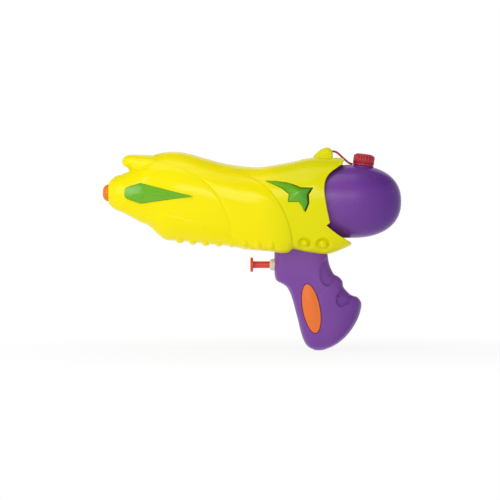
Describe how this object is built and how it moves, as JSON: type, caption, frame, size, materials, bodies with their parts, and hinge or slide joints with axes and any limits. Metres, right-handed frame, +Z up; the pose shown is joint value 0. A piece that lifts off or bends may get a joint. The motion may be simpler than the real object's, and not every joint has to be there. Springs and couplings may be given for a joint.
{
  "type": "water squirter",
  "caption": "Hand-held toy water squirter: two-half sculpted shell, egg-shaped tank with tethered screw cap, pistol grip, push trigger pump and nozzle button.",
  "frame": {"origin": "middle of the hand grip, on the parting plane", "axes": "+X towards the tank, so the muzzle points along -X; +Z up as held; -Y is the holder's left side, which the picture shows"},
  "size_m": [0.2685, 0.062, 0.1824],
  "materials": {
    "yellow_shell": "glossy moulded",
    "purple_grip": "satin gloss moulded",
    "purple_tank": "glossy blow-moulded",
    "green_inlay": "glossy moulded",
    "orange_trim": "glossy moulded",
    "clear_tube": "soft tube",
    "cream_pump": "satin moulded",
    "valve_ball": "polished",
    "black_rubber": "matte",
    "spring_steel": "drawn wire",
    "screw_steel": "zinc plated",
    "red_cap": "satin moulded",
    "white_liner": "foam",
    "red_trigger": "glossy moulded"
  },
  "bodies": {
    "body": {"left_shell": "yellow_shell", "right_shell": "yellow_shell", "left_grip": "purple_grip", "right_grip": "purple_grip", "tank": "purple_tank", "left_gem": "green_inlay", "right_gem": "green_inlay", "left_star": "green_inlay", "right_star": "green_inlay", "left_inlay": "orange_trim", "right_inlay": "orange_trim", "nozzle": "orange_trim", "delivery_tube": "clear_tube", "suction_tube": "clear_tube", "pump_barrel": "cream_pump", "rod_guide": "cream_pump", "inlet_elbow": "cream_pump", "outlet_spigot": "cream_pump", "tank_grommet": "black_rubber", "return_spring": "spring_steel", "shell_screws": "screw_steel", "grip_screws": "screw_steel", "cap_tether": "red_cap"},
    "trigger": {"trigger_plunger": "red_trigger", "piston_seal": "black_rubber"},
    "cap_ring": {"tether_ring": "red_cap"},
    "cap": {"screw_cap": "red_cap", "cap_liner": "white_liner"},
    "inlet_valve": {"inlet_ball": "valve_ball"},
    "outlet_valve": {"outlet_ball": "valve_ball"}
  },
  "joints": [
    {"name": "trigger_push", "type": "slide", "parent": "body", "child": "trigger", "axis": [1, 0, 0], "range_m": [0, 0.012], "stiffness_N_per_m": 200, "springref_m": -0.008, "deforming": ["return_spring"]},
    {"name": "cap_lift", "type": "slide", "parent": "body", "child": "cap_ring", "axis": [0.1392, 0, 0.9903], "range_m": [0, 0.00451], "deforming": ["cap_tether"]},
    {"name": "cap_turn", "type": "hinge", "parent": "cap_ring", "child": "cap", "pos_m": [0.0405, 0, 0.11859], "axis": [0.1392, 0, 0.9903], "range_deg": [0, 540]},
    {"name": "inlet_ball_lift", "type": "slide", "parent": "body", "child": "inlet_valve", "axis": [0, 0, 1], "range_m": [0, 0.0007]},
    {"name": "outlet_ball_lift", "type": "slide", "parent": "body", "child": "outlet_valve", "axis": [0, 0, 1], "range_m": [0, 0.0005]}
  ],
  "couplings": [
    {"joint": "cap_lift", "follows": "cap_turn", "m_per_rad": 0.00047746}
  ]
}
